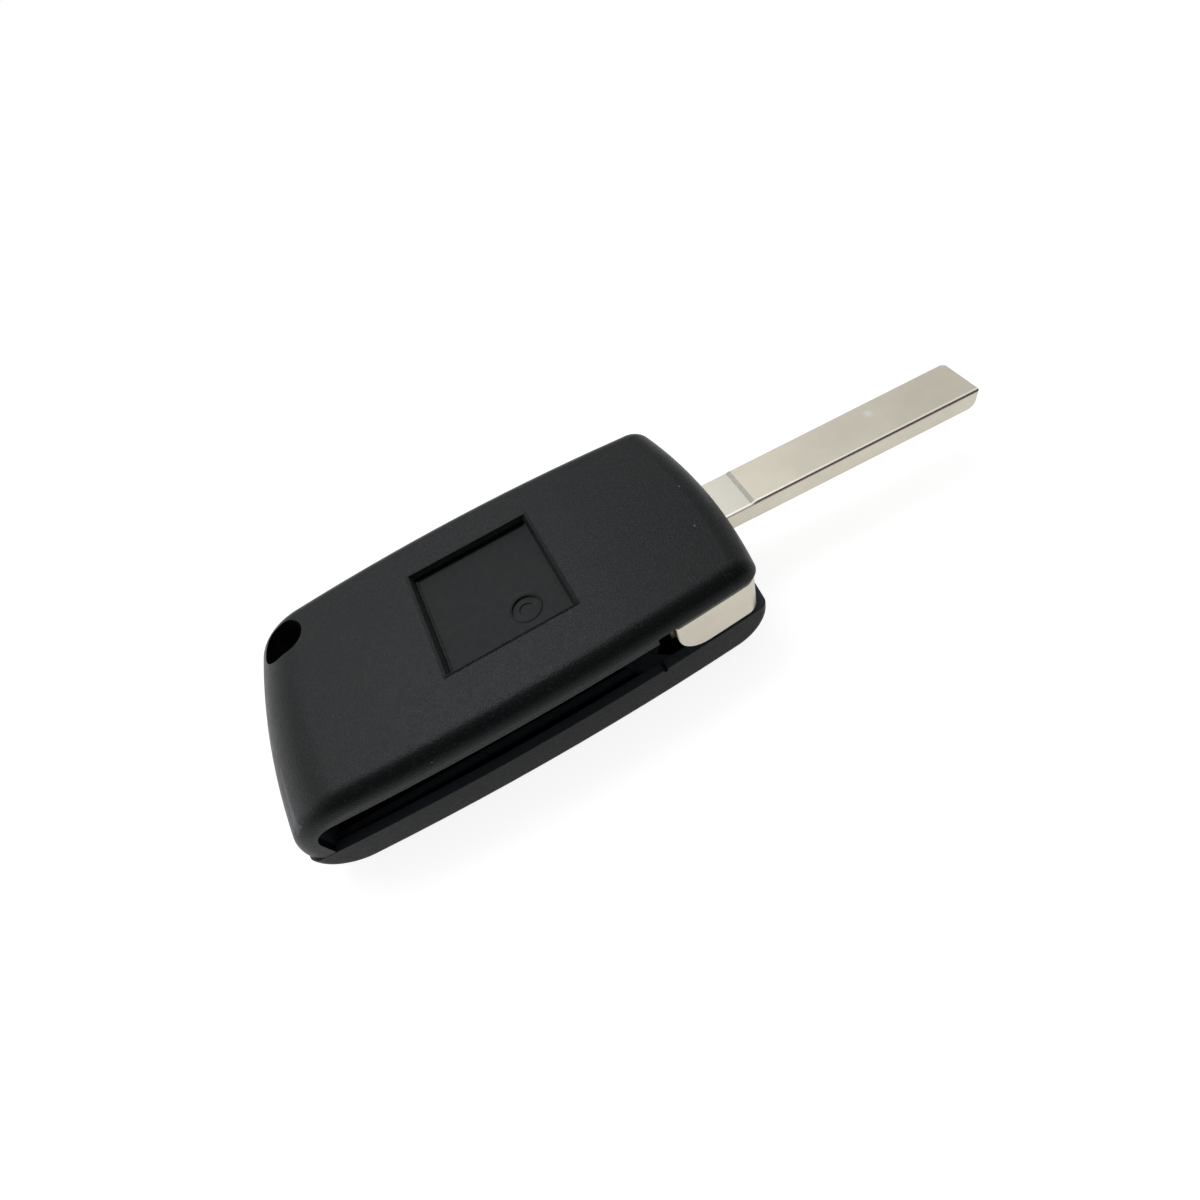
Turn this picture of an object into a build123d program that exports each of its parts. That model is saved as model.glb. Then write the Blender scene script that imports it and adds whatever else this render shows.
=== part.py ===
from build123d import *
from math import cos, radians, sin, sqrt
import os

# Flip key shell lying on its button face, with the blade swung open.
# Millimetres. +Z is up, out of the plain back. +X runs towards the tip of the open
# blade, and -Y is the side that the folded blade lies in. The origin is the middle
# of the case, on the face that it rests on.

os.makedirs("parts", exist_ok=True)

# Case: a back cover and a front cover that meet at the parting plane
case_length = 75.7
case_width = 38.6
case_height = 17.8
parting_height = 6.9
near_side_bow = 1.4
far_side_bow = 2.4
ring_end_bow = 1.35
blade_end_bow = 1.4
back_near_corner_drop = 0.8
back_far_corner_drop = 0.25
wall = 1.5
rib_root = 0.6

# Rolled edges of each cover: at the keyring's end, where a short straight wall is left at
# the parting plane, at the blade's end, and along both sides and round the corners
back_ring_straight = 0.2
back_blade_roll = 3.8
back_side_roll = 2.75
front_ring_straight = 0.6
front_blade_roll = 5.8
front_side_roll = 1.45
room_roll = 0.4

# Seam: a tongue on the front cover behind the back cover's wall, with snap catches
seam_gap = 0.1
seam_groove_height = 0.15
seam_groove_depth = 0.25
tongue_thickness = 0.8
tongue_height = 1.1
catch_length = 5.0
catch_height = 0.4
catch_depth = 0.35
catch_lift = 0.4
catch_play = 0.1
tongue_corner_gap = 6.0
catch_stations = (-16.5, 3.5, 21.5)

# Badge recess in the back, with the round gate mark in its floor
badge_side = 20.1
badge_depth = 1.35
badge_x = 2.2
badge_y = 1.0
badge_bevel_width = 0.5
badge_bevel_depth = 0.7
badge_ledge_width = 0.35
badge_ledge_height = 0.15
badge_floor_skin = 1.0
badge_pad_margin = 0.8
gate_x = 5.8
gate_y = -4.5
gate_radius = 2.2
gate_depth = 0.3
gate_dot_radius = 1.1
gate_dot_depth = 0.15

# Keyring hole through the far corner: a bore in the front cover, an oval in the back
ring_from_end = 8.45
ring_from_side = 6.8
ring_bore_radius = 2.6
ring_mouth_radius = 3.05
ring_mouth_stretch = 1.5
ring_boss_wall = 1.3

# Pivot, and the angle that the open blade stands short of straight
pivot_from_end = 11.65
pivot_from_side = 11.7
blade_turn = 2.8

# Blade and its head, one nickel-plated casting. The folded blade's tip stays short of the
# keyring's end of the case.
blade_tip_cover = 8.85
blade_width = 8.1
blade_thickness = 3.4
blade_drop = 1.6
blade_offset = 6.95
blade_edge = 0.3
blade_tip_corner = 0.7
blade_tip_round = 1.3
neck_end = 16.2
neck_step = 0.25
neck_bevel = 0.6
head_lift = 0.65
head_cover = 3.1
head_inset = 0.05
head_front = 4.3
head_end_inset = 2.3
head_start_corner = 0.5
head_start_round = 4.5
head_end_corner = 2.5
head_arm_back = 7.0
head_arm_corner = 3.0
head_reach = 13.1
head_edge = 0.35
hub_radius = 7.9

# Room that the case leaves round the moving blade
head_clearance = 0.25
blade_side_room = 0.35
blade_end_room = 3.9
slot_top_room = 0.7
slot_corner = 3.5
rim_notch_from_pivot = 7.4
rim_notch_width = 0.6
rim_notch_depth = 0.6
mechanism_wall = 1.2

# Bearings of the head: a tube on the front cover and a ring on the back cover
bearing_radius = 6.5
bearing_play = 0.06
bearing_depth = 0.8
bearing_end_gap = 0.1
back_ring_wall = 1.2

# Release button, which slides in the tube and turns with the head
button_radius = 4.9
button_play = 0.07
button_recess = 0.3
button_travel = 1.6
button_top_drop = 2.8
button_face = 1.5
button_wall = 0.9
button_edge = 0.5
button_dish_radius = 3.6
button_dish_depth = 0.25
lug_reach = 5.9
lug_width = 2.6
lug_height = 2.0
lug_play = 0.08

# Flip spring between the button and the spring base
spring_mean_radius = 3.1
spring_wire = 0.9
spring_turns = 5.5
spring_end_gap = 0.06
base_disc_height = 0.9
base_disc_play = 0.15
base_post_radius = 2.0
base_post_length = 6.0
base_key_side = 5.0
base_key_height = 0.9
base_key_play = 0.05

# Keys, in openings in the front face
key_names = ("unlock_key", "boot_key", "lock_key")
key_y = 6.2
key_spacing = 1.8
key_width = 10.4
key_corner = 2.6
key_play = 0.15
key_recess = 0.35
key_edge = 0.4
key_flange = 0.7
key_flange_gap = 0.15
key_flange_height = 0.9
key_travel = 0.6

# Rubber mat behind the keys, on a rib frame between the keyring's lug and the head's room
mat_ring_gap = 0.3
mat_head_gap = 0.45
mat_key_gap = 0.1
mat_seat_gap = 0.05
mat_thickness = 0.8
mat_border = 1.3
mat_frame_rib = 1.0
dome_radius = 2.6
dome_height = 0.7
dome_wall = 0.4

# Ribs and posts inside the covers
slot_rib = 1.0
slot_rib_drop = 0.9
slot_rib_rows = (-15.6, -12.8)
slot_rib_stations = (-25.5, -16.5, -7.5, 1.5, 10.5)
ceiling_rib_gap = 0.25
ledge_width = 2.6
ledge_drop = 0.6
spoke_count = 8
spoke_thickness = 1.0
board_posts_from_ring = ((1.1, -18.3), (0.7, -7.8))
board_post_from_pivot = (-8.7, 20.8)
board_post_radius = 1.3
board_post_drop = 1.7
board_nib_radius = 0.7
board_nib_height = 1.2

# Coin cell cup and its contact, in the back cover
cell_from_badge = 19.2
cell_y = 4.2
cell_radius = 8.15
cup_wall = 1.0
cup_height = 3.0
clip_width = 4.0
clip_thickness = 0.25
clip_bump = 0.6
clip_bump_length = 6.0
clip_leg_lift = 1.7
clip_leg_gap = 0.5
clip_foot = 1.6
clip_notch_play = 0.3

# Pocket for the transponder chip, in the back cover
chip_from_end = 16.35
chip_y = 12.2
chip_length = 12.0
chip_width = 5.2
chip_wall = 0.9
chip_depth = 4.0

# Levels and places that follow from the sizes above
back_inside = case_height - wall
back_ring_roll = case_height - parting_height - back_ring_straight
front_ring_roll = parting_height - front_ring_straight
ring_x = ring_from_end - case_length / 2
ring_y = case_width / 2 - ring_from_side
pivot_x = case_length / 2 - pivot_from_end
pivot_y = pivot_from_side - case_width / 2
head_top = case_height - head_cover
head_bottom = parting_height + head_lift
head_start = pivot_x - head_front
head_end = case_length / 2 - head_end_inset
badge_floor = case_height - badge_depth
badge_mouth = badge_side - 2 * badge_bevel_width
blade_top = head_top - blade_drop
blade_bottom = blade_top - blade_thickness
blade_length = pivot_x - neck_end + case_length / 2 - blade_tip_cover
blade_far_edge = blade_offset + blade_width / 2
cavity_radius = head_reach + head_clearance
head_ceiling = head_top + head_clearance
slot_side = pivot_y - blade_offset + blade_width / 2 + blade_side_room
slot_end = pivot_x - neck_end - blade_length - blade_end_room
slot_top = blade_top + slot_top_room
slot_floor = parting_height - slot_rib_drop
ledge_top = parting_height - ledge_drop
tube_top = head_bottom + bearing_depth - bearing_end_gap
lug_bottom = tube_top + lug_play
lug_slot_top = lug_bottom + lug_height + button_travel + lug_play
button_top = head_top - button_top_drop
base_top = back_inside
base_bottom = base_top - base_disc_height
catch_bottom = parting_height + catch_lift
key_top = wall + key_flange_gap + key_flange_height
mat_bottom = key_top + key_travel + mat_key_gap
mat_start = ring_x + ring_bore_radius + ring_boss_wall + mat_ring_gap
mat_end = pivot_x - cavity_radius - mat_head_gap
mat_length = mat_end - mat_start
mat_width = key_width + 2 * (key_flange + mat_border)
mat_x = (mat_start + mat_end) / 2
key_pitch = (mat_length - 2 * (key_flange + mat_border) + key_spacing) / len(key_names)
key_length = key_pitch - key_spacing
key_x = [mat_x + (number - (len(key_names) - 1) / 2) * key_pitch for number in range(len(key_names))]
cell_x = badge_x - cell_from_badge
clip_leg_bottom = parting_height + clip_leg_lift
chip_x = case_length / 2 - chip_from_end
board_post_top = parting_height - board_post_drop
board_posts = [(ring_x + x, ring_y + y) for x, y in board_posts_from_ring]
board_posts.append((pivot_x + board_post_from_pivot[0], pivot_y + board_post_from_pivot[1]))

# The bowed sides of the case, each an arc from corner to corner. At the blade's end the
# back cover draws in towards its corners.
ring_end = -case_length / 2 + ring_end_bow
blade_end = case_length / 2 - blade_end_bow
near_side = -case_width / 2 + near_side_bow
far_side = case_width / 2 - far_side_bow
middle_x = (ring_end + blade_end) / 2
middle_y = (near_side + far_side) / 2
case_sides = (
    Edge.make_three_point_arc((ring_end, near_side), (middle_x, -case_width / 2), (blade_end, near_side)),
    Edge.make_three_point_arc((blade_end, far_side), (middle_x, case_width / 2), (ring_end, far_side)),
    Edge.make_three_point_arc((ring_end, far_side), (-case_length / 2, middle_y), (ring_end, near_side)),
)
front_blade_end = Edge.make_three_point_arc(
    (blade_end, near_side),
    (case_length / 2, middle_y),
    (blade_end, far_side),
)
back_blade_end = Edge.make_three_point_arc(
    (blade_end - back_near_corner_drop, near_side),
    (case_length / 2, middle_y),
    (blade_end - back_far_corner_drop, far_side),
)

# Directions of the open blade: along it, and from its far edge to its near edge
along_blade = (cos(radians(blade_turn)), -sin(radians(blade_turn)), 0)
across_blade = (-sin(radians(blade_turn)), -cos(radians(blade_turn)), 0)


def blade_plane(height):
    """Level plane with its origin on the pivot and its first axis along the blade."""
    return Plane(origin=(pivot_x, pivot_y, height), x_dir=along_blade, z_dir=(0, 0, 1))


def pivot_plane(height):
    """Level plane with its origin on the pivot."""
    return Plane(origin=(pivot_x, pivot_y, height), z_dir=(0, 0, 1))


def case_plan(inset=0.0, end=front_blade_end):
    """The case's barrel-sided plan with sharp corners, drawn in from the outside by inset."""
    with BuildSketch() as plan:
        Rectangle(2 * case_length, 2 * case_width)
        for side in (*case_sides, end):
            with Locations(side.arc_center):
                Circle(side.radius - inset, mode=Mode.INTERSECT)
    return plan.sketch


def cover_block(inset, end, depth, outward, ring_roll, blade_roll, side_roll):
    """One cover's solid form, from the parting plane outwards, drawn in by inset."""
    with BuildPart() as block:
        with BuildSketch(Plane.XY.offset(parting_height)):
            add(case_plan(inset, end))
        extrude(amount=depth - inset, dir=outward.direction)
        fillet(block.faces().sort_by(outward)[-1].edges().sort_by(Axis.X)[0], ring_roll - inset)
        fillet(block.faces().sort_by(outward)[-1].edges().sort_by(Axis.X)[-1], blade_roll - inset)
        for side in (Axis.Y, -Axis.Y):
            rim = block.faces().sort_by(side)[-1].edges().sort_by(outward)[1:]
            fillet(rim, max(side_roll - inset, room_roll))
    return block.part


def back_block(inset=0.0):
    """The back cover's form above the parting plane."""
    rolls = (back_ring_roll, back_blade_roll, back_side_roll)
    return cover_block(inset, back_blade_end, case_height - parting_height, Axis.Z, *rolls)


def front_block(inset=0.0):
    """The front cover's form below the parting plane."""
    rolls = (front_ring_roll, front_blade_roll, front_side_roll)
    return cover_block(inset, front_blade_end, parting_height, -Axis.Z, *rolls)


def back_band(outer, inner):
    """The part of the back cover's plan between two insets."""
    with BuildSketch() as band:
        add(case_plan(outer, back_blade_end))
        add(case_plan(inner, back_blade_end), mode=Mode.SUBTRACT)
    return band.sketch


def slot_strip(margin=0.0):
    """Plan of the folded blade's slot, grown by margin on its inner side and its end."""
    with BuildSketch() as strip:
        with Locations((slot_end - margin, slot_side + margin)):
            Rectangle(pivot_x - slot_end + margin, case_width, align=(Align.MIN, Align.MAX))
    return strip.sketch


def head_sweep(margin=0.0):
    """Plan that the head and the neck need, grown by margin."""
    with BuildSketch() as sweep:
        with Locations((pivot_x, pivot_y)):
            Circle(cavity_radius + margin)
            Rectangle(case_length, case_width, align=(Align.MIN, Align.MAX))
        with Locations(Location((pivot_x, pivot_y), -blade_turn)):
            Rectangle(case_length, blade_far_edge + blade_side_room + margin, align=(Align.MIN, Align.MIN))
    return sweep.sketch


def mechanism_band():
    """Plan of the inner wall between the blade's side of the case and the board bay."""
    with BuildSketch() as band:
        add(slot_strip(mechanism_wall))
        add(head_sweep(mechanism_wall))
        add(slot_strip(), mode=Mode.SUBTRACT)
        add(head_sweep(), mode=Mode.SUBTRACT)
        add(case_plan(), mode=Mode.INTERSECT)
    return band.sketch


def ring_mouth(margin=0.0):
    """Plan of the keyring hole's oval mouth in the back cover, grown by margin."""
    with BuildSketch() as mouth:
        with Locations((ring_x, ring_y)):
            SlotCenterToCenter(ring_mouth_stretch, 2 * (ring_mouth_radius + margin))
    return mouth.sketch


def tongue_plan(outer):
    """Plan of the seam's tongue from an inset inwards, clear of corners and inner walls."""
    clearance = mechanism_wall + catch_play
    with BuildSketch() as tongue:
        Rectangle(case_length, case_width - 2 * tongue_corner_gap)
        Rectangle(case_length - 2 * tongue_corner_gap, case_width)
        add(back_band(outer, wall + seam_gap + tongue_thickness), mode=Mode.INTERSECT)
        add(slot_strip(clearance), mode=Mode.SUBTRACT)
        add(head_sweep(clearance), mode=Mode.SUBTRACT)
        add(ring_mouth(ring_boss_wall + catch_play), mode=Mode.SUBTRACT)
    return tongue.sketch


def catch_plan(outer, inner, length):
    """Plan of the snap catches: short stretches of a band along the far side."""
    with BuildSketch() as catches:
        with Locations(*[(station, 0) for station in catch_stations]):
            Rectangle(length, case_width, align=(Align.CENTER, Align.MIN))
        add(back_band(outer, inner), mode=Mode.INTERSECT)
    return catches.sketch


# Inner walls, cup and pockets of the back cover, up to the middle of its skin
with BuildPart() as back_inner:
    # Inner wall beside the blade, and the wall round the keyring hole
    with BuildSketch(Plane.XY.offset(parting_height)):
        add(mechanism_band())
        add(ring_mouth(ring_boss_wall))
    extrude(amount=case_height - parting_height)
    # Thickened skin under the badge recess
    with BuildSketch(Plane.XY.offset(badge_floor - badge_floor_skin)):
        with Locations((badge_x, badge_y)):
            Rectangle(badge_mouth + 2 * badge_pad_margin, badge_mouth + 2 * badge_pad_margin)
    extrude(amount=badge_depth)
    # Cup for the coin cell, notched for the contact
    with BuildSketch(Plane.XY.offset(back_inside - cup_height)):
        with Locations((cell_x, cell_y)):
            Circle(cell_radius + cup_wall)
            Circle(cell_radius, mode=Mode.SUBTRACT)
            Rectangle(
                case_length,
                clip_width + 2 * clip_notch_play,
                align=(Align.MAX, Align.CENTER),
                mode=Mode.SUBTRACT,
            )
    extrude(amount=cup_height + wall)
    # Pocket for the transponder chip
    with BuildSketch(Plane.XY.offset(back_inside - chip_depth)):
        with Locations((chip_x, chip_y)):
            Rectangle(chip_length + 2 * chip_wall, chip_width + 2 * chip_wall)
            Rectangle(chip_length, chip_width, mode=Mode.SUBTRACT)
    extrude(amount=chip_depth + wall)
    # Ribs that stiffen the skin over the folded blade
    with BuildSketch(Plane.XY.offset(slot_top + ceiling_rib_gap)):
        with Locations(*[(station, slot_side + rib_root) for station in slot_rib_stations]):
            Rectangle(slot_rib, case_width / 2, align=(Align.CENTER, Align.MAX))
    extrude(amount=case_height - slot_top - ceiling_rib_gap)
    add(back_block(wall - rib_root), mode=Mode.INTERSECT)

# Back cover: a deep moulded shell with the blade's window cut through its near side
with BuildPart() as back_cover:
    add(back_block())
    add(back_block(wall), mode=Mode.SUBTRACT)
    add(back_inner.part)
    # Window in the near wall for the folded blade, and room for the head and the neck
    slot_plane = Plane(origin=(slot_end, slot_side, parting_height), x_dir=(1, 0, 0), z_dir=(0, -1, 0))
    with BuildSketch(slot_plane) as slot:
        Rectangle(pivot_x - slot_end, slot_top - parting_height, align=(Align.MIN, Align.MIN))
        fillet(slot.vertices().group_by(Axis.X)[0].sort_by(Axis.Y)[-1], slot_corner)
    extrude(amount=case_width, mode=Mode.SUBTRACT)
    with BuildSketch(Plane.XY.offset(parting_height)):
        add(head_sweep())
    extrude(amount=head_ceiling - parting_height, mode=Mode.SUBTRACT)
    # Bearing ring for the head
    with BuildSketch(pivot_plane(head_top - bearing_depth + bearing_end_gap)):
        Circle(bearing_radius)
        Circle(bearing_radius - back_ring_wall, mode=Mode.SUBTRACT)
    extrude(amount=back_inside - head_top + bearing_depth - bearing_end_gap + rib_root)
    # Badge recess: a bevelled rim, a narrow ledge on two sides and the gate mark
    with BuildSketch(Plane.XY.offset(case_height - badge_bevel_depth)):
        with Locations((badge_x, badge_y)):
            Rectangle(badge_mouth, badge_mouth)
    with BuildSketch(Plane.XY.offset(case_height)):
        with Locations((badge_x, badge_y)):
            Rectangle(badge_side, badge_side)
    loft(mode=Mode.SUBTRACT)
    with BuildSketch(Plane.XY.offset(badge_floor + badge_ledge_height)):
        with Locations((badge_x, badge_y)):
            Rectangle(badge_mouth, badge_mouth)
    extrude(amount=badge_depth - badge_ledge_height, mode=Mode.SUBTRACT)
    with BuildSketch(Plane.XY.offset(badge_floor)):
        with Locations((badge_x, badge_y)):
            Rectangle(badge_mouth - 2 * badge_ledge_width, badge_mouth)
    extrude(amount=badge_ledge_height, mode=Mode.SUBTRACT)
    with BuildSketch(Plane.XY.offset(badge_floor - gate_depth)):
        with Locations((gate_x, gate_y)):
            Circle(gate_radius)
    extrude(amount=gate_depth, mode=Mode.SUBTRACT)
    with BuildSketch(Plane.XY.offset(badge_floor - gate_depth - gate_dot_depth)):
        with Locations((gate_x, gate_y)):
            Circle(gate_dot_radius)
    extrude(amount=gate_dot_depth, mode=Mode.SUBTRACT)
    # Keyring hole
    with BuildSketch(Plane.XY.offset(parting_height)):
        add(ring_mouth())
    extrude(amount=case_height - parting_height, mode=Mode.SUBTRACT)
    # Grooves for the front cover's snap catches
    with BuildSketch(Plane.XY.offset(catch_bottom - catch_play)):
        add(catch_plan(wall - catch_depth - catch_play, wall + seam_gap, catch_length + 2 * catch_play))
    extrude(amount=catch_height + 2 * catch_play, mode=Mode.SUBTRACT)
    # Shadow groove that shows the seam
    with BuildSketch(Plane.XY.offset(parting_height)):
        add(back_band(0, seam_groove_depth))
    extrude(amount=seam_groove_height, mode=Mode.SUBTRACT)
    # Keyed socket for the spring base
    with BuildSketch(pivot_plane(base_top)):
        Rectangle(base_key_side + 2 * base_key_play, base_key_side + 2 * base_key_play)
    extrude(amount=base_key_height + base_key_play, mode=Mode.SUBTRACT)
back_cover.part.label = "back_cover"
export_step(back_cover.part, "parts/back_cover.step")

# Inner walls, ribs and frames of the front cover, down to the middle of its skin
with BuildPart() as front_inner:
    # Inner wall beside the blade, and the lug round the keyring bore, solid to the far wall
    with BuildSketch():
        add(mechanism_band())
        with Locations((ring_x, ring_y)):
            Circle(ring_bore_radius + ring_boss_wall)
            Rectangle(
                2 * (ring_bore_radius + ring_boss_wall),
                case_width,
                align=(Align.CENTER, Align.MIN),
            )
    extrude(amount=parting_height)
    # Long ribs under the folded blade
    with BuildSketch():
        with Locations(*[(slot_end, row) for row in slot_rib_rows]):
            Rectangle(
                pivot_x - slot_end - cavity_radius + ledge_width,
                slot_rib,
                align=(Align.MIN, Align.CENTER),
            )
    extrude(amount=slot_floor)
    # Ledge round the head's room, with spokes to the pivot tube
    with BuildSketch():
        with Locations((pivot_x, pivot_y)):
            Circle(cavity_radius + rib_root)
            Circle(cavity_radius - ledge_width, mode=Mode.SUBTRACT)
            with PolarLocations(0, spoke_count):
                Rectangle(cavity_radius, spoke_thickness, align=(Align.MIN, Align.CENTER))
    extrude(amount=ledge_top)
    # Rib frame that carries the rubber mat
    with BuildSketch():
        with Locations((mat_x, key_y)):
            Rectangle(mat_length, mat_width)
            Rectangle(mat_length - 2 * mat_frame_rib, mat_width - 2 * mat_frame_rib, mode=Mode.SUBTRACT)
    extrude(amount=mat_bottom - mat_seat_gap)
    # Posts that carry the circuit board
    with BuildSketch():
        with Locations(*board_posts):
            Circle(board_post_radius)
    extrude(amount=board_post_top)
    add(front_block(wall - rib_root), mode=Mode.INTERSECT)

# Front cover: a shallow tray with the key openings, the pivot tube and the seam's tongue
with BuildPart() as front_cover:
    add(front_block())
    add(front_block(wall), mode=Mode.SUBTRACT)
    add(front_inner.part)
    # Tube that the head and the release button turn and slide in
    with BuildSketch(pivot_plane(wall - rib_root)):
        Circle(bearing_radius)
    extrude(amount=tube_top - wall + rib_root)
    with BuildSketch(pivot_plane(0)):
        Circle(button_radius + button_play)
    extrude(amount=tube_top, mode=Mode.SUBTRACT)
    # Nibs of the board's posts
    with BuildSketch(Plane.XY.offset(board_post_top)):
        with Locations(*board_posts):
            Circle(board_nib_radius)
    extrude(amount=board_nib_height)
    # Openings for the keys, and the keyring bore
    with BuildSketch():
        with Locations(*[(x, key_y) for x in key_x]):
            RectangleRounded(key_length + 2 * key_play, key_width + 2 * key_play, key_corner + key_play)
    extrude(amount=wall, mode=Mode.SUBTRACT)
    with BuildSketch():
        with Locations((ring_x, ring_y)):
            Circle(ring_bore_radius)
    extrude(amount=parting_height, mode=Mode.SUBTRACT)
    # Tongue of the seam, its root in the wall, and the snap catches
    with BuildSketch(Plane.XY.offset(parting_height - tongue_height)):
        add(tongue_plan(wall - rib_root))
    extrude(amount=tongue_height)
    with BuildSketch(Plane.XY.offset(parting_height)):
        add(tongue_plan(wall + seam_gap))
    extrude(amount=tongue_height)
    with BuildSketch(Plane.XY.offset(catch_bottom)):
        add(catch_plan(wall - catch_depth, wall + seam_gap + rib_root, catch_length))
    extrude(amount=catch_height)
    # Small notch in the near wall's rim, beside the head's room
    with BuildSketch(Plane.XY.offset(parting_height)):
        with Locations((pivot_x - rim_notch_from_pivot, near_side + wall)):
            Rectangle(rim_notch_width, case_width, align=(Align.CENTER, Align.MAX))
    extrude(amount=-rim_notch_depth, mode=Mode.SUBTRACT)
front_cover.part.label = "front_cover"
export_step(front_cover.part, "parts/front_cover.step")

# Blade with its head: a hub, two lobes that fill the window open and folded, neck and blank
with BuildSketch() as head_plan:
    with Locations((head_start, pivot_y)):
        Rectangle(head_end - head_start, case_width, align=(Align.MIN, Align.MAX))
    add(case_plan(head_inset, back_blade_end), mode=Mode.INTERSECT)
    for corner, radius in ((head_start, head_start_corner), (head_end, head_end_corner)):
        fillet(head_plan.vertices().sort_by_distance((corner, near_side))[0], radius)
    with Locations(Location((pivot_x, pivot_y), -blade_turn)):
        with Locations((-head_arm_back, 0)):
            Rectangle(head_end - pivot_x + head_arm_back, blade_far_edge, align=(Align.MIN, Align.MIN))
    arm_corner = blade_plane(0).from_local_coords((-head_arm_back, blade_far_edge, 0))
    fillet(head_plan.vertices().sort_by_distance(arm_corner)[0], head_arm_corner)
    with Locations((pivot_x, pivot_y)):
        Circle(head_reach, mode=Mode.INTERSECT)
        Circle(hub_radius)
with BuildPart() as key_blade:
    with BuildSketch(Plane.XY.offset(head_bottom)):
        add(head_plan.sketch)
    extrude(amount=head_top - head_bottom)
    chamfer(key_blade.faces().sort_by(Axis.Z)[-1].edges(), head_edge)
    # The lower corner of the lobe beside the slot is rounded off
    lobe_corner = (head_start, pivot_y - hub_radius, head_bottom)
    with BuildSketch(Plane(origin=lobe_corner, x_dir=(1, 0, 0), z_dir=(0, -1, 0))):
        Rectangle(head_start_round, head_start_round, align=(Align.MIN, Align.MIN))
        with Locations((head_start_round, head_start_round)):
            Circle(head_start_round, mode=Mode.SUBTRACT)
    extrude(amount=head_reach, mode=Mode.SUBTRACT)
    # Neck and blank in side view: a bevelled step, then square to the tip
    far_plane = Plane(origin=(pivot_x, pivot_y, 0), x_dir=along_blade, z_dir=across_blade)
    with BuildSketch(far_plane.offset(-blade_far_edge)) as blank_side:
        with BuildLine():
            Polyline(
                (0, blade_bottom + neck_step),
                (neck_end, blade_bottom + neck_step),
                (neck_end + neck_bevel, blade_bottom),
                (neck_end + blade_length, blade_bottom),
                (neck_end + blade_length, blade_top),
                (neck_end + neck_bevel, blade_top),
                (neck_end, blade_top - neck_step),
                (0, blade_top - neck_step),
                close=True,
            )
        make_face()
        tip = blank_side.vertices().sort_by_distance((neck_end + blade_length, blade_bottom))[0]
        fillet(tip, blade_tip_round)
    extrude(amount=blade_width)
    long_edges = key_blade.edges().filter_by(Axis((0, 0, 0), along_blade))
    fillet(long_edges.filter_by(lambda edge: edge.length > blade_length / 2), blade_edge)
    with BuildSketch(blade_plane(blade_bottom)):
        with Locations(Location((neck_end + blade_length, blade_far_edge), 45)):
            Rectangle(sqrt(2) * blade_tip_corner, sqrt(2) * blade_tip_corner)
    extrude(amount=blade_thickness, mode=Mode.SUBTRACT)
    # Seats for the two bearings, the button's bore and the slots for its lugs
    with BuildSketch(pivot_plane(head_bottom)):
        Circle(bearing_radius + bearing_play)
    extrude(amount=bearing_depth, mode=Mode.SUBTRACT)
    with BuildSketch(pivot_plane(head_top)):
        Circle(bearing_radius + bearing_play)
    extrude(amount=-bearing_depth, mode=Mode.SUBTRACT)
    with BuildSketch(pivot_plane(head_bottom)):
        Circle(button_radius + button_play)
    extrude(amount=head_top - head_bottom, mode=Mode.SUBTRACT)
    with BuildSketch(blade_plane(head_bottom)):
        Rectangle(2 * (lug_reach + lug_play), lug_width + 2 * lug_play)
    extrude(amount=lug_slot_top - head_bottom, mode=Mode.SUBTRACT)
key_blade.part.label = "key_blade"
export_step(key_blade.part, "parts/key_blade.step")

# Release button: a cup with a dished face, and two lugs that turn it with the head
with BuildPart() as release_button:
    with BuildSketch(pivot_plane(button_recess)):
        Circle(button_radius)
    extrude(amount=button_top - button_recess)
    chamfer(release_button.faces().sort_by(Axis.Z)[0].edges(), button_edge)
    with BuildSketch(pivot_plane(button_recess + button_face)):
        Circle(button_radius - button_wall)
    extrude(amount=button_top - button_recess - button_face, mode=Mode.SUBTRACT)
    with BuildSketch(blade_plane(lug_bottom)):
        Rectangle(2 * lug_reach, lug_width)
        Circle(lug_reach, mode=Mode.INTERSECT)
        Circle(button_radius - button_wall / 2, mode=Mode.SUBTRACT)
    extrude(amount=lug_height)
    with BuildSketch(pivot_plane(button_recess + button_dish_depth)):
        Circle(button_dish_radius - button_dish_depth)
    with BuildSketch(pivot_plane(button_recess)):
        Circle(button_dish_radius)
    loft(mode=Mode.SUBTRACT)
release_button.part.label = "release_button"
export_step(release_button.part, "parts/release_button.step")

# Flip spring: a round-wire coil between the button's floor and the spring base
spring_bottom = button_recess + button_face + spring_wire / 2 + spring_end_gap
spring_top = base_bottom - spring_wire / 2 - spring_end_gap
spring_pitch = (spring_top - spring_bottom) / spring_turns
with BuildPart() as flip_spring:
    with BuildLine(pivot_plane(spring_bottom)) as coil:
        Helix(spring_pitch, spring_top - spring_bottom, spring_mean_radius)
    with BuildSketch(Plane(origin=coil.line @ 0, z_dir=coil.line % 0)):
        Circle(spring_wire / 2)
    sweep(is_frenet=True)
flip_spring.part.label = "flip_spring"
export_step(flip_spring.part, "parts/flip_spring.step")

# Spring base: a disc keyed into the back cover, with a post inside the spring
with BuildPart() as spring_base:
    with BuildSketch(pivot_plane(base_bottom)):
        Circle(bearing_radius - back_ring_wall - base_disc_play)
    extrude(amount=base_disc_height)
    with BuildSketch(pivot_plane(base_top)):
        Rectangle(base_key_side, base_key_side)
    extrude(amount=base_key_height)
    with BuildSketch(pivot_plane(base_bottom - base_post_length)):
        Circle(base_post_radius)
    extrude(amount=base_post_length)
    chamfer(spring_base.faces().sort_by(Axis.Z)[0].edges(), button_edge)
spring_base.part.label = "spring_base"
export_step(spring_base.part, "parts/spring_base.step")

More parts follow.
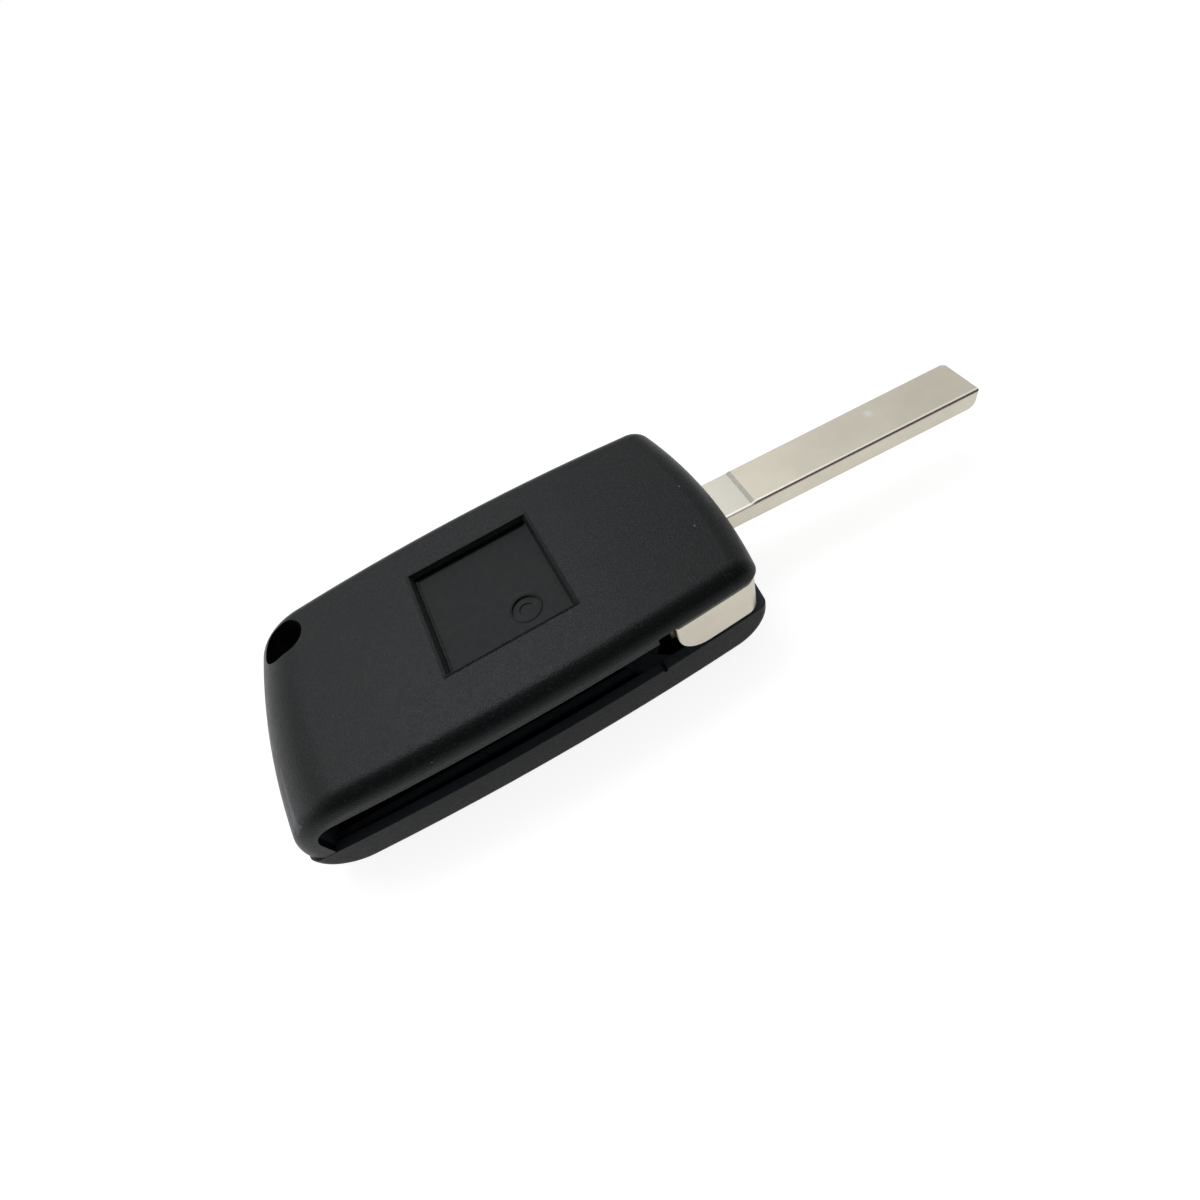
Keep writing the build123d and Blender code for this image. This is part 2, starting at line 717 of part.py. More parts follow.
# Keys: caps with a flange behind the front face
for name, x in zip(key_names, key_x):
    with BuildPart() as key:
        with BuildSketch(Plane(origin=(x, key_y, key_recess))):
            RectangleRounded(key_length, key_width, key_corner)
        extrude(amount=key_top - key_recess)
        chamfer(key.faces().sort_by(Axis.Z)[0].edges(), key_edge)
        with BuildSketch(Plane(origin=(x, key_y, wall + key_flange_gap))):
            RectangleRounded(
                key_length + 2 * key_flange,
                key_width + 2 * key_flange,
                key_corner + key_flange,
            )
        extrude(amount=key_flange_height)
    key.part.label = name
    export_step(key.part, f"parts/{name}.step")

# Rubber mat: a sheet over the rib frame, with a hollow dome above each key
with BuildPart() as keypad_mat:
    with BuildSketch(Plane(origin=(mat_x, key_y, mat_bottom))):
        Rectangle(mat_length, mat_width)
    extrude(amount=mat_thickness)
    with BuildSketch(Plane.XY.offset(mat_bottom + mat_thickness)):
        with Locations(*[(x, key_y) for x in key_x]):
            Circle(dome_radius)
    extrude(amount=dome_height, taper=20)
    with BuildSketch(Plane.XY.offset(mat_bottom)):
        with Locations(*[(x, key_y) for x in key_x]):
            Circle(dome_radius - dome_wall)
    extrude(amount=mat_thickness + dome_height - dome_wall, taper=15, mode=Mode.SUBTRACT)
keypad_mat.part.label = "keypad_mat"
export_step(keypad_mat.part, "parts/keypad_mat.step")

# Battery contact: one bent strip, bowed over the cell, with a leg down to the board
leg_x = cell_x - cell_radius - cup_wall - clip_leg_gap
strip_end = cell_x + cell_radius - cup_wall
with BuildPart() as battery_contact:
    with BuildSketch(Plane(origin=(0, cell_y, 0), x_dir=(1, 0, 0), z_dir=(0, -1, 0))):
        with BuildLine() as strip:
            Polyline(
                (leg_x + clip_foot, clip_leg_bottom),
                (leg_x, clip_leg_bottom),
                (leg_x, back_inside - clip_thickness),
                (cell_x - clip_bump_length / 2, back_inside - clip_thickness),
                (cell_x, back_inside - clip_thickness - clip_bump),
                (cell_x + clip_bump_length / 2, back_inside - clip_thickness),
                (strip_end, back_inside - clip_thickness),
            )
            offset(amount=clip_thickness, side=Side.LEFT)
        make_face()
    extrude(amount=clip_width / 2, both=True)
battery_contact.part.label = "battery_contact"
export_step(battery_contact.part, "parts/battery_contact.step")
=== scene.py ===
import math

import bpy
from mathutils import Matrix, Vector


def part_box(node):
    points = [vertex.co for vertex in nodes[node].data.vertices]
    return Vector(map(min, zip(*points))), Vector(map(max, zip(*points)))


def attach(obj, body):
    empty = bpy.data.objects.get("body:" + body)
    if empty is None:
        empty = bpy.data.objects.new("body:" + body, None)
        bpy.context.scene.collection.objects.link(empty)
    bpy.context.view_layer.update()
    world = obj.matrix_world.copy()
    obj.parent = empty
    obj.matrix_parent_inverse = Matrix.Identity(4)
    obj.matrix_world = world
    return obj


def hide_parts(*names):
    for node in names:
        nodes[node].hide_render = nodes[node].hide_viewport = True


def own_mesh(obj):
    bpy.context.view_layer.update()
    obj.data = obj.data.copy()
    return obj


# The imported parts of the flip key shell, in metres, lying on the button face with the
# blade swung open. MM turns the sizes below, which are in millimetres, into metres.
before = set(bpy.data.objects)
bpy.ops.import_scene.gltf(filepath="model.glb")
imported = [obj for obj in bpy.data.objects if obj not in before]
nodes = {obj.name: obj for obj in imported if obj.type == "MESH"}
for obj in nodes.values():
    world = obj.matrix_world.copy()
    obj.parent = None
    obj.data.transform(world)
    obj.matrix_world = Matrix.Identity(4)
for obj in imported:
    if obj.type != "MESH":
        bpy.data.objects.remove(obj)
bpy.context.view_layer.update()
scene = bpy.context.scene
MM = 0.001


# Viewpoint
# A close camera above the near side, rolled so that the blade points to the upper right.
# It stands so near that the far corner looks clearly smaller than the near one.
view_azimuth = math.radians(-6.85)
view_elevation = math.radians(53.37)
view_roll = math.radians(-23.70)
view_distance = 110.83 * MM
view_target = Vector((16.75, 2.54, 0)) * MM
focal_px = 654.4
picture_px = 1200
sensor_width = 36.0

camera_data = bpy.data.cameras.new("viewpoint")
camera_data.sensor_width = sensor_width
camera_data.lens = sensor_width * focal_px / picture_px
camera_data.clip_start = 5 * MM
camera = bpy.data.objects.new("viewpoint", camera_data)
scene.collection.objects.link(camera)
back = Vector(
    (
        math.sin(view_azimuth) * math.cos(view_elevation),
        -math.cos(view_azimuth) * math.cos(view_elevation),
        math.sin(view_elevation),
    )
)
level = Vector((0, 0, 1)).cross(back).normalized()
upright = back.cross(level)
right = level * math.cos(view_roll) + upright * math.sin(view_roll)
up = back.cross(right)
turn = Matrix((right, up, back)).transposed()
camera.matrix_world = Matrix.Translation(view_target + back * view_distance) @ turn.to_4x4()
scene.camera = camera
scene.view_settings.view_transform = "Standard"


# Floor
# A white table that runs out of sight on every side. It shows the object's soft shadow.
# It glows white for the camera and a little less in reflections, and from below it isn't
# seen, so the button face can be looked at too.
floor_size = 8.0
floor_drop = 0.02 * MM
floor_colour = (0.3, 0.3, 0.3, 1)
floor_glow = 0.89
floor_gloss = 0.74

floor_mesh = bpy.data.meshes.new("floor")
half = floor_size / 2
floor_mesh.from_pydata(
    [(-half, -half, 0), (half, -half, 0), (half, half, 0), (-half, half, 0)], [], [(0, 1, 2, 3)]
)
floor = bpy.data.objects.new("floor", floor_mesh)
floor.location.z = -floor_drop
floor.visible_diffuse = False
floor.visible_shadow = False
scene.collection.objects.link(floor)

floor_material = bpy.data.materials.new("white_table")
floor_material.use_nodes = True
tree = floor_material.node_tree
tree.nodes.clear()
paper = tree.nodes.new("ShaderNodeBsdfDiffuse")
paper.inputs["Color"].default_value = floor_colour
glow = tree.nodes.new("ShaderNodeEmission")
glow.inputs["Strength"].default_value = floor_glow
path = tree.nodes.new("ShaderNodeLightPath")
mirrored = tree.nodes.new("ShaderNodeMath")
mirrored.operation = "MAXIMUM"
softened = tree.nodes.new("ShaderNodeMath")
softened.operation = "MULTIPLY"
softened.inputs[1].default_value = floor_gloss
seen = tree.nodes.new("ShaderNodeMath")
seen.operation = "MAXIMUM"
dark = tree.nodes.new("ShaderNodeEmission")
dark.inputs["Strength"].default_value = 0
lit = tree.nodes.new("ShaderNodeMixShader")
table = tree.nodes.new("ShaderNodeAddShader")
geometry = tree.nodes.new("ShaderNodeNewGeometry")
clear = tree.nodes.new("ShaderNodeBsdfTransparent")
side = tree.nodes.new("ShaderNodeMixShader")
output = tree.nodes.new("ShaderNodeOutputMaterial")
link = tree.links.new
link(path.outputs["Is Glossy Ray"], mirrored.inputs[0])
link(path.outputs["Is Transmission Ray"], mirrored.inputs[1])
link(mirrored.outputs[0], softened.inputs[0])
link(path.outputs["Is Camera Ray"], seen.inputs[0])
link(softened.outputs[0], seen.inputs[1])
link(seen.outputs[0], lit.inputs[0])
link(dark.outputs[0], lit.inputs[1])
link(glow.outputs[0], lit.inputs[2])
link(paper.outputs[0], table.inputs[0])
link(lit.outputs[0], table.inputs[1])
link(geometry.outputs["Backfacing"], side.inputs[0])
link(table.outputs[0], side.inputs[1])
link(clear.outputs[0], side.inputs[2])
link(side.outputs[0], output.inputs["Surface"])
floor_mesh.materials.append(floor_material)


# Room light
# A pale room all round that is bright overhead and beyond the object, and dim low on the
# viewer's side, so that the near rounding of the case falls dark. Light from below stands
# for what the white table throws back, and the camera sees plain white.
overhead_level = 0.67
table_level = 0.24
dim_level = 0.09
dim_direction = Vector((0.12, -0.84, 0.53)).normalized()
dim_from = 0.12
dim_to = 0.62
horizon_blur = 0.03

world = bpy.data.worlds.new("pale_room")
scene.world = world
world.use_nodes = True
tree = world.node_tree
tree.nodes.clear()
place = tree.nodes.new("ShaderNodeTexCoord")
split = tree.nodes.new("ShaderNodeSeparateXYZ")
above = tree.nodes.new("ShaderNodeMapRange")
above.inputs["From Min"].default_value = -horizon_blur
above.inputs["From Max"].default_value = horizon_blur
toward = tree.nodes.new("ShaderNodeVectorMath")
toward.operation = "DOT_PRODUCT"
toward.inputs[1].default_value = dim_direction
dim = tree.nodes.new("ShaderNodeMapRange")
dim.interpolation_type = "SMOOTHSTEP"
dim.inputs["From Min"].default_value = dim_from
dim.inputs["From Max"].default_value = dim_to
dim.inputs["To Min"].default_value = overhead_level
dim.inputs["To Max"].default_value = dim_level
level_mix = tree.nodes.new("ShaderNodeMix")
level_mix.inputs["A"].default_value = table_level
path = tree.nodes.new("ShaderNodeLightPath")
white = tree.nodes.new("ShaderNodeMix")
white.inputs["B"].default_value = 1.0
background = tree.nodes.new("ShaderNodeBackground")
background.inputs["Color"].default_value = (1, 1, 1, 1)
output = tree.nodes.new("ShaderNodeOutputWorld")
link = tree.links.new
link(place.outputs["Generated"], split.inputs[0])
link(place.outputs["Generated"], toward.inputs[0])
link(split.outputs["Z"], above.inputs["Value"])
link(toward.outputs["Value"], dim.inputs["Value"])
link(above.outputs[0], level_mix.inputs["Factor"])
link(dim.outputs[0], level_mix.inputs["B"])
link(path.outputs["Is Camera Ray"], white.inputs["Factor"])
link(level_mix.outputs["Result"], white.inputs["A"])
link(white.outputs["Result"], background.inputs["Strength"])
link(background.outputs[0], output.inputs["Surface"])


# Lamps
# Two soft panels: one high beyond the far side, and one beyond the keyring's end, which
# puts the pale gleam on the rolled end of the case.
def soft_panel(name, place, aim, width, height, power):
    """A rectangular lamp at place that faces aim, in metres and watts."""
    data = bpy.data.lights.new(name, "AREA")
    data.shape = "RECTANGLE"
    data.size = width
    data.size_y = height
    data.energy = power
    lamp = bpy.data.objects.new(name, data)
    lamp.location = place
    lamp.rotation_mode = "QUATERNION"
    lamp.rotation_quaternion = (Vector(aim) - Vector(place)).to_track_quat("-Z", "Y")
    scene.collection.objects.link(lamp)


soft_panel(
    "overhead_panel",
    place=(-0.13, 0.36, 0.72),
    aim=(0, 0, 0),
    width=0.55,
    height=0.26,
    power=2.3,
)
soft_panel(
    "end_panel",
    place=(-0.70, 0.10, 0.20),
    aim=(-0.03, 0, 0.01),
    width=0.40,
    height=0.25,
    power=0.35,
)


# Case covers and spring base
# Black ABS, injection moulded. The outside has the fine spark-eroded texture of the mould,
# a little polished where hands rub the edges, with a few grains of dust on it. The badge
# recess has a plain floor and a faint lip. The inside of the slot is painted a paler, bluish
# colour: painted light that stands in for the light falling into it.
def new_group(name, inputs, output):
    """An empty shader group with the named float inputs and one named output."""
    group = bpy.data.node_groups.new(name, "ShaderNodeTree")
    for label, value in inputs.items():
        socket = group.interface.new_socket(label, in_out="INPUT", socket_type="NodeSocketFloat")
        socket.default_value = value
    group.interface.new_socket(output, in_out="OUTPUT", socket_type="NodeSocketFloat")
    return group, group.nodes.new("NodeGroupInput"), group.nodes.new("NodeGroupOutput")


def add_math(tree, operation, first, second=None):
    """A math node in tree; each operand is a socket or a number. Returns its result."""
    node = tree.nodes.new("ShaderNodeMath")
    node.operation = operation
    for socket, value in zip(node.inputs, (first, second)):
        if isinstance(value, bpy.types.NodeSocket):
            tree.links.new(value, socket)
        elif value is not None:
            socket.default_value = value
    return node.outputs[0]


def add_product(tree, first, *others):
    """All the sockets or numbers multiplied together."""
    for other in others:
        first = add_math(tree, "MULTIPLY", first, other)
    return first


def add_between(tree, value, low, high):
    """Mask of where value lies between low and high."""
    over = add_math(tree, "GREATER_THAN", value, low)
    under = add_math(tree, "LESS_THAN", value, high)
    return add_product(tree, over, under)


def remap(tree, value, low, high, new_low=0.0, new_high=1.0):
    """Value, which runs from low to high, spread over new_low to new_high and clamped."""
    node = tree.nodes.new("ShaderNodeMapRange")
    tree.links.new(value, node.inputs["Value"])
    node.inputs["From Min"].default_value = low
    node.inputs["From Max"].default_value = high
    node.inputs["To Min"].default_value = new_low
    node.inputs["To Max"].default_value = new_high
    return node.outputs[0]


def object_noise(tree, scale, detail=2.0, roughness=0.5):
    """Noise fixed to the piece; scale is a socket or the number of grains per metre."""
    place = tree.nodes.new("ShaderNodeTexCoord")
    noise = tree.nodes.new("ShaderNodeTexNoise")
    noise.inputs["Detail"].default_value = detail
    noise.inputs["Roughness"].default_value = roughness
    tree.links.new(place.outputs["Object"], noise.inputs["Vector"])
    if isinstance(scale, bpy.types.NodeSocket):
        tree.links.new(scale, noise.inputs["Scale"])
    else:
        noise.inputs["Scale"].default_value = scale
    return noise.outputs["Fac"]


def uneven(tree, scale, low=0.0, high=1.0, detail=3.0, roughness=0.5):
    """Noise of scale grains per metre, whose usual range is spread from low to high."""
    usual_low, usual_high = 0.3, 0.7
    noise = object_noise(tree, scale, detail, roughness)
    return remap(tree, noise, usual_low, usual_high, low, high)


def split_vector(tree, vector):
    """The X, Y and Z of a vector socket."""
    split = tree.nodes.new("ShaderNodeSeparateXYZ")
    tree.links.new(vector, split.inputs[0])
    return split.outputs[0], split.outputs[1], split.outputs[2]


def away_from(tree, coordinates, middle):
    """Each coordinate as measured from middle."""
    return [add_math(tree, "SUBTRACT", along, centre) for along, centre in zip(coordinates, middle)]


def within_box(tree, coordinates, middle, half_size):
    """Masks of where the coordinates lie in the box, one mask for each axis."""
    aways = [add_math(tree, "ABSOLUTE", away) for away in away_from(tree, coordinates, middle)]
    return [add_math(tree, "LESS_THAN", away, reach) for away, reach in zip(aways, half_size)]


# Height of a mould's eroded texture: rounded grains with finer ones between them
grain_rounding = 0.6
fine_scale = 2.1
fine_height = 0.6
eroded_grain, given, result = new_group("eroded_grain", {"Grains": 4200.0}, "Height")
place = eroded_grain.nodes.new("ShaderNodeTexCoord")
cells = eroded_grain.nodes.new("ShaderNodeTexVoronoi")
cells.feature = "SMOOTH_F1"
cells.inputs["Smoothness"].default_value = grain_rounding
eroded_grain.links.new(place.outputs["Object"], cells.inputs["Vector"])
eroded_grain.links.new(given.outputs["Grains"], cells.inputs["Scale"])
fine = object_noise(eroded_grain, add_product(eroded_grain, given.outputs["Grains"], fine_scale))
fine = add_product(eroded_grain, fine, fine_height)
height = add_math(eroded_grain, "ADD", cells.outputs["Distance"], fine)
eroded_grain.links.new(height, result.inputs["Height"])

# Mask of edges that rubbing has polished, broken up by a patchy noise
worn_radius = 0.45 * MM
bevel_samples = 6
still_flat, fully_turned = 0.995, 0.86
worn_edges, given, result = new_group("worn_edges", {"Patches": 400.0, "Amount": 1.0}, "Mask")
rounded = worn_edges.nodes.new("ShaderNodeBevel")
rounded.samples = bevel_samples
rounded.inputs["Radius"].default_value = worn_radius
facing = worn_edges.nodes.new("ShaderNodeNewGeometry")
agreement = worn_edges.nodes.new("ShaderNodeVectorMath")
agreement.operation = "DOT_PRODUCT"
worn_edges.links.new(rounded.outputs["Normal"], agreement.inputs[0])
worn_edges.links.new(facing.outputs["Normal"], agreement.inputs[1])
edge = remap(worn_edges, agreement.outputs["Value"], still_flat, fully_turned)
patches = object_noise(worn_edges, given.outputs["Patches"], detail=3.0)
patchy = remap(worn_edges, patches, low=0.35, high=0.65)
worn = add_product(worn_edges, edge, patchy, given.outputs["Amount"])
worn_edges.links.new(worn, result.inputs["Mask"])

# Mask of a few stray grains of dust: small dots in a share of the cells
dust_sizes = {"Cells": 260.0, "Share": 0.12, "Size": 0.03}
stray_dust, given, result = new_group("stray_dust", dust_sizes, "Mask")
place = stray_dust.nodes.new("ShaderNodeTexCoord")
cells = stray_dust.nodes.new("ShaderNodeTexVoronoi")
stray_dust.links.new(place.outputs["Object"], cells.inputs["Vector"])
stray_dust.links.new(given.outputs["Cells"], cells.inputs["Scale"])
chance = stray_dust.nodes.new("ShaderNodeSeparateColor")
stray_dust.links.new(cells.outputs["Color"], chance.inputs["Color"])
dot = add_math(stray_dust, "LESS_THAN", cells.outputs["Distance"], given.outputs["Size"])
chosen = add_math(stray_dust, "LESS_THAN", chance.outputs["Red"], given.outputs["Share"])
stray_dust.links.new(add_product(stray_dust, dot, chosen), result.inputs["Mask"])

# Mask of the badge recess, whose floor is plain: the mould has no texture there. The box
# that it lies in is given by its middle and half its size.
recess_middle = Vector((2.2, 1.0, 16.3)) * MM
recess_half = Vector((10.0, 10.0, 0.6)) * MM
recess_floor, given, result = new_group("recess_floor", {}, "Mask")
place = recess_floor.nodes.new("ShaderNodeTexCoord")
coordinates = split_vector(recess_floor, place.outputs["Object"])
within = within_box(recess_floor, coordinates, recess_middle, recess_half)
recess_floor.links.new(add_product(recess_floor, *within), result.inputs["Mask"])

# Height, in millimetres, of the faint lips that the mould leaves round the badge recess and
# round the gate mark in its floor. The front of the case, below them, has none.
recess_rim = 10.05 * MM
gate_middle = Vector((5.8, -4.5)) * MM
gate_rim = 2.2 * MM
lips_from = 8.0 * MM
lip_sizes = {"Width": 0.45, "Rise": 0.17, "Gate Width": 0.35, "Gate Rise": 0.12}
moulded_lips, given, result = new_group("moulded_lips", lip_sizes, "Height")


def add_lip(past_rim, width, rise):
    """Height of a lip that climbs to rise over the last width outside its rim."""
    share = add_math(moulded_lips, "DIVIDE", past_rim, MM)
    share = add_math(moulded_lips, "DIVIDE", share, width)
    slope = remap(moulded_lips, share, low=0.0, high=1.0, new_low=1.0, new_high=0.0)
    return add_product(moulded_lips, slope, rise)


place = moulded_lips.nodes.new("ShaderNodeTexCoord")
x, y, z = split_vector(moulded_lips, place.outputs["Object"])
away_x, away_y = [
    add_math(moulded_lips, "ABSOLUTE", away)
    for away in away_from(moulded_lips, (x, y), recess_middle)
]
square = add_math(moulded_lips, "MAXIMUM", away_x, away_y)
past_square = add_math(moulded_lips, "SUBTRACT", square, recess_rim)
away_x, away_y = [
    add_product(moulded_lips, away, away) for away in away_from(moulded_lips, (x, y), gate_middle)
]
radius = add_math(moulded_lips, "SQRT", add_math(moulded_lips, "ADD", away_x, away_y))
past_round = add_math(moulded_lips, "SUBTRACT", radius, gate_rim)
height = add_math(
    moulded_lips,
    "ADD",
    add_lip(past_square, given.outputs["Width"], given.outputs["Rise"]),
    add_lip(past_round, given.outputs["Gate Width"], given.outputs["Gate Rise"]),
)
on_back = add_math(moulded_lips, "GREATER_THAN", z, lips_from)
moulded_lips.links.new(add_product(moulded_lips, height, on_back), result.inputs["Height"])

# Where this mask is, the plastic is painted paler as painted light.
# Mask of the faces inside the blade's slot: those that lie in a box deep in the case, and
# flat ones at the slot's height, which are its floor and roof. It also catches the flat step
# of the seam, and a sliver of the rolled edge at the keyring's end, which dips into the box.
inside_middle = Vector((0.0, -5.5, 10.25)) * MM
inside_half = Vector((34.0, 11.5, 5.0)) * MM
flat_from = 0.95
slot_inside, given, result = new_group("slot_inside", {}, "Mask")
place = slot_inside.nodes.new("ShaderNodeTexCoord")
coordinates = split_vector(slot_inside, place.outputs["Object"])
within_x, within_y, within_z = within_box(slot_inside, coordinates, inside_middle, inside_half)
deep = add_product(slot_inside, within_x, within_y)
facing_up = split_vector(slot_inside, place.outputs["Normal"])[2]
flat = add_math(slot_inside, "ABSOLUTE", facing_up)
flat = add_math(slot_inside, "GREATER_THAN", flat, flat_from)
deep_or_flat = add_math(slot_inside, "MAXIMUM", deep, flat)
slot_inside.links.new(add_product(slot_inside, deep_or_flat, within_z), result.inputs["Mask"])


def new_finish(name):
    """A material with a Principled shader only. Returns it, its tree and the shader."""
    material = bpy.data.materials.new(name)
    material.use_nodes = True
    return material, material.node_tree, material.node_tree.nodes["Principled BSDF"]


def use_group(tree, group, **values):
    """Places group in tree with the given input values. Returns its output."""
    node = tree.nodes.new("ShaderNodeGroup")
    node.node_tree = group
    for label, value in values.items():
        node.inputs[label].default_value = value
    return node.outputs[0]


def blend_colours(tree, factor, first, second):
    """Colour that runs from first to second with factor; each is a socket or RGB."""
    node = tree.nodes.new("ShaderNodeMix")
    node.data_type = "RGBA"
    tree.links.new(factor, node.inputs["Factor"])
    for label, colour in (("A", first), ("B", second)):
        socket = [s for s in node.inputs if s.name == label and s.type == "RGBA"][0]
        if isinstance(colour, bpy.types.NodeSocket):
            tree.links.new(colour, socket)
        else:
            socket.default_value = (*colour, 1)
    return [s for s in node.outputs if s.type == "RGBA"][0]


def bump_normal(tree, shader, height, distance, edge_radius):
    """Gives shader the relief of height, distance deep, on edges rounded by edge_radius."""
    soft_edge = tree.nodes.new("ShaderNodeBevel")
    soft_edge.samples = bevel_samples
    soft_edge.inputs["Radius"].default_value = edge_radius
    bump = tree.nodes.new("ShaderNodeBump")
    bump.inputs["Distance"].default_value = distance
    tree.links.new(height, bump.inputs["Height"])
    tree.links.new(soft_edge.outputs["Normal"], bump.inputs["Normal"])
    tree.links.new(bump.outputs["Normal"], shader.inputs["Normal"])


def dress(name, material):
    """Gives the named part its finish."""
    for slot in nodes[name].material_slots:
        slot.material = material


plastic_black = (0.0075, 0.0083, 0.0092)
plastic_faded = (0.0112, 0.0114, 0.0112)
plastic_speck = (0.030, 0.032, 0.033)
plastic_rubbed = (0.016, 0.016, 0.016)
# Painted light for the inside of the slot, paler and bluish
plastic_inside_painted_light = (0.072, 0.084, 0.100)
dust_colour = (0.30, 0.29, 0.26)
rub_polish = -0.12
floor_dullness = 0.16
back_specular = 0.21
front_specular = 0.11
grain_depth = 0.035
case_edge = 0.12 * MM

case_finish, tree, shader = new_finish("black_abs")
plain = use_group(tree, recess_floor)
textured = add_math(tree, "SUBTRACT", 1.0, plain)
faded = remap(tree, object_noise(tree, 60.0, detail=4.0, roughness=0.6), low=0.35, high=0.7)
colour = blend_colours(tree, faded, plastic_black, plastic_faded)
speck = remap(tree, object_noise(tree, 3600.0, detail=1.0), low=0.58, high=0.74)
colour = blend_colours(tree, add_product(tree, speck, textured), colour, plastic_speck)
worn = use_group(tree, worn_edges, Patches=500.0, Amount=0.6)
colour = blend_colours(tree, worn, colour, plastic_rubbed)
dust = use_group(tree, stray_dust, Cells=500.0, Share=0.10, Size=0.05)
colour = blend_colours(tree, dust, colour, dust_colour)
# Painted light: the slot's inside is made paler, standing in for the light that falls into it
colour = blend_colours(tree, use_group(tree, slot_inside), colour, plastic_inside_painted_light)
tree.links.new(colour, shader.inputs["Base Color"])
duller = add_product(tree, plain, floor_dullness)
sheen = add_math(tree, "ADD", uneven(tree, 900.0, low=0.29, high=0.36), duller)
sheen = add_math(tree, "ADD", sheen, add_product(tree, worn, rub_polish))
tree.links.new(sheen, shader.inputs["Roughness"])
shader.inputs["IOR"].default_value = 1.46
shader.inputs["Specular IOR Level"].default_value = back_specular
shader.inputs["Specular Tint"].default_value = (0.90, 0.98, 1.0, 1)
grain = add_product(tree, use_group(tree, eroded_grain, Grains=5200.0), textured)
lips = add_math(tree, "DIVIDE", use_group(tree, moulded_lips), grain_depth)
relief = add_math(tree, "ADD", grain, lips)
bump_normal(tree, shader, relief, grain_depth * MM, case_edge)
for part in ("back_cover", "spring_base"):
    dress(part, case_finish)

# The front cover came out of its own mould a little less shiny
front_finish = case_finish.copy()
front_finish.name = "black_abs_front"
front_shader = front_finish.node_tree.nodes["Principled BSDF"]
front_shader.inputs["Specular IOR Level"].default_value = front_specular
dress("front_cover", front_finish)


# Blade with its head
# One zinc casting with an uncut blank, nickel plated. The plating has a fine satin grain
# that runs along the blade, and it is brighter where the edges are rubbed.
# Along the near top edge a white line is painted as a highlight, with a dark line painted beside it
# as shade.
blade_turn = math.radians(2.8)
along_blade = (math.cos(blade_turn), -math.sin(blade_turn), 0)
across_blade = (math.sin(blade_turn), math.cos(blade_turn), 0)
pivot = Vector((26.2, -7.6, 0)) * MM
nickel_warm = (0.80, 0.755, 0.635)
nickel_dull = (0.72, 0.675, 0.57)
nickel_rubbed = (0.84, 0.81, 0.73)
nickel_smear = (0.86, 0.825, 0.735)
nickel_neck = (0.70, 0.68, 0.61)
nickel_step = (0.62, 0.60, 0.54)
# Painted highlight and painted shade for the near top edge
nickel_painted_highlight = (1.0, 0.99, 0.95)
nickel_painted_shade = (0.42, 0.385, 0.32)


def from_pivot(tree, direction):
    """Distance of the point from the pivot along direction, in millimetres."""
    place = tree.nodes.new("ShaderNodeTexCoord")
    away = tree.nodes.new("ShaderNodeVectorMath")
    away.operation = "SUBTRACT"
    away.inputs[1].default_value = pivot
    tree.links.new(place.outputs["Object"], away.inputs[0])
    reach = tree.nodes.new("ShaderNodeVectorMath")
    reach.operation = "DOT_PRODUCT"
    reach.inputs[1].default_value = direction
    tree.links.new(away.outputs["Vector"], reach.inputs[0])
    return add_product(tree, reach.outputs["Value"], 1 / MM)


# Mask of a stretch of the top between two distances from the pivot, in millimetres. As it
# stands it is the bevelled step between neck and blank.
faces_up_from = 0.3
top_stretch, given, result = new_group("top_stretch", {"Start": 16.15, "End": 16.85}, "Mask")
along = from_pivot(top_stretch, along_blade)
stretch = add_between(top_stretch, along, given.outputs["Start"], given.outputs["End"])
place = top_stretch.nodes.new("ShaderNodeTexCoord")
facing_up = split_vector(top_stretch, place.outputs["Normal"])[2]
on_top = add_math(top_stretch, "GREATER_THAN", facing_up, faces_up_from)
top_stretch.links.new(add_product(top_stretch, stretch, on_top), result.inputs["Mask"])

# Mask of a thin strip along the near top edge between two distances across the blade, in
# millimetres. As it stands it is the border of the top beside the chamfer, where a white line is
# painted as a highlight; with other distances it carries a painted dark line of shade beside it.
edge_low = 12.79 * MM
edge_high = 13.3 * MM
edge_strip, given, result = new_group("edge_strip", {"Start": 3.18, "End": 3.48}, "Mask")
across = from_pivot(edge_strip, across_blade)
strip = add_between(edge_strip, across, given.outputs["Start"], given.outputs["End"])
place = edge_strip.nodes.new("ShaderNodeTexCoord")
height = split_vector(edge_strip, place.outputs["Object"])[2]
at_edge = add_between(edge_strip, height, edge_low, edge_high)
edge_strip.links.new(add_product(edge_strip, strip, at_edge), result.inputs["Mask"])

# Mask of a small pale smear on the blank's top, with a ragged outline
smear_middle = Vector((66.5, -1.0, 13.1)) * MM
smear_end, smear_full = 1.5, 0.9
pale_smear, given, result = new_group("pale_smear", {"Radius": 0.95}, "Mask")
place = pale_smear.nodes.new("ShaderNodeTexCoord")
away = pale_smear.nodes.new("ShaderNodeVectorMath")
away.operation = "DISTANCE"
away.inputs[1].default_value = smear_middle
pale_smear.links.new(place.outputs["Object"], away.inputs[0])
share = add_math(pale_smear, "DIVIDE", away.outputs["Value"], MM)
share = add_math(pale_smear, "DIVIDE", share, given.outputs["Radius"])
ragged = add_math(pale_smear, "ADD", share, object_noise(pale_smear, 1400.0, detail=3.0))
pale_smear.links.new(remap(pale_smear, ragged, smear_end, smear_full), result.inputs["Mask"])

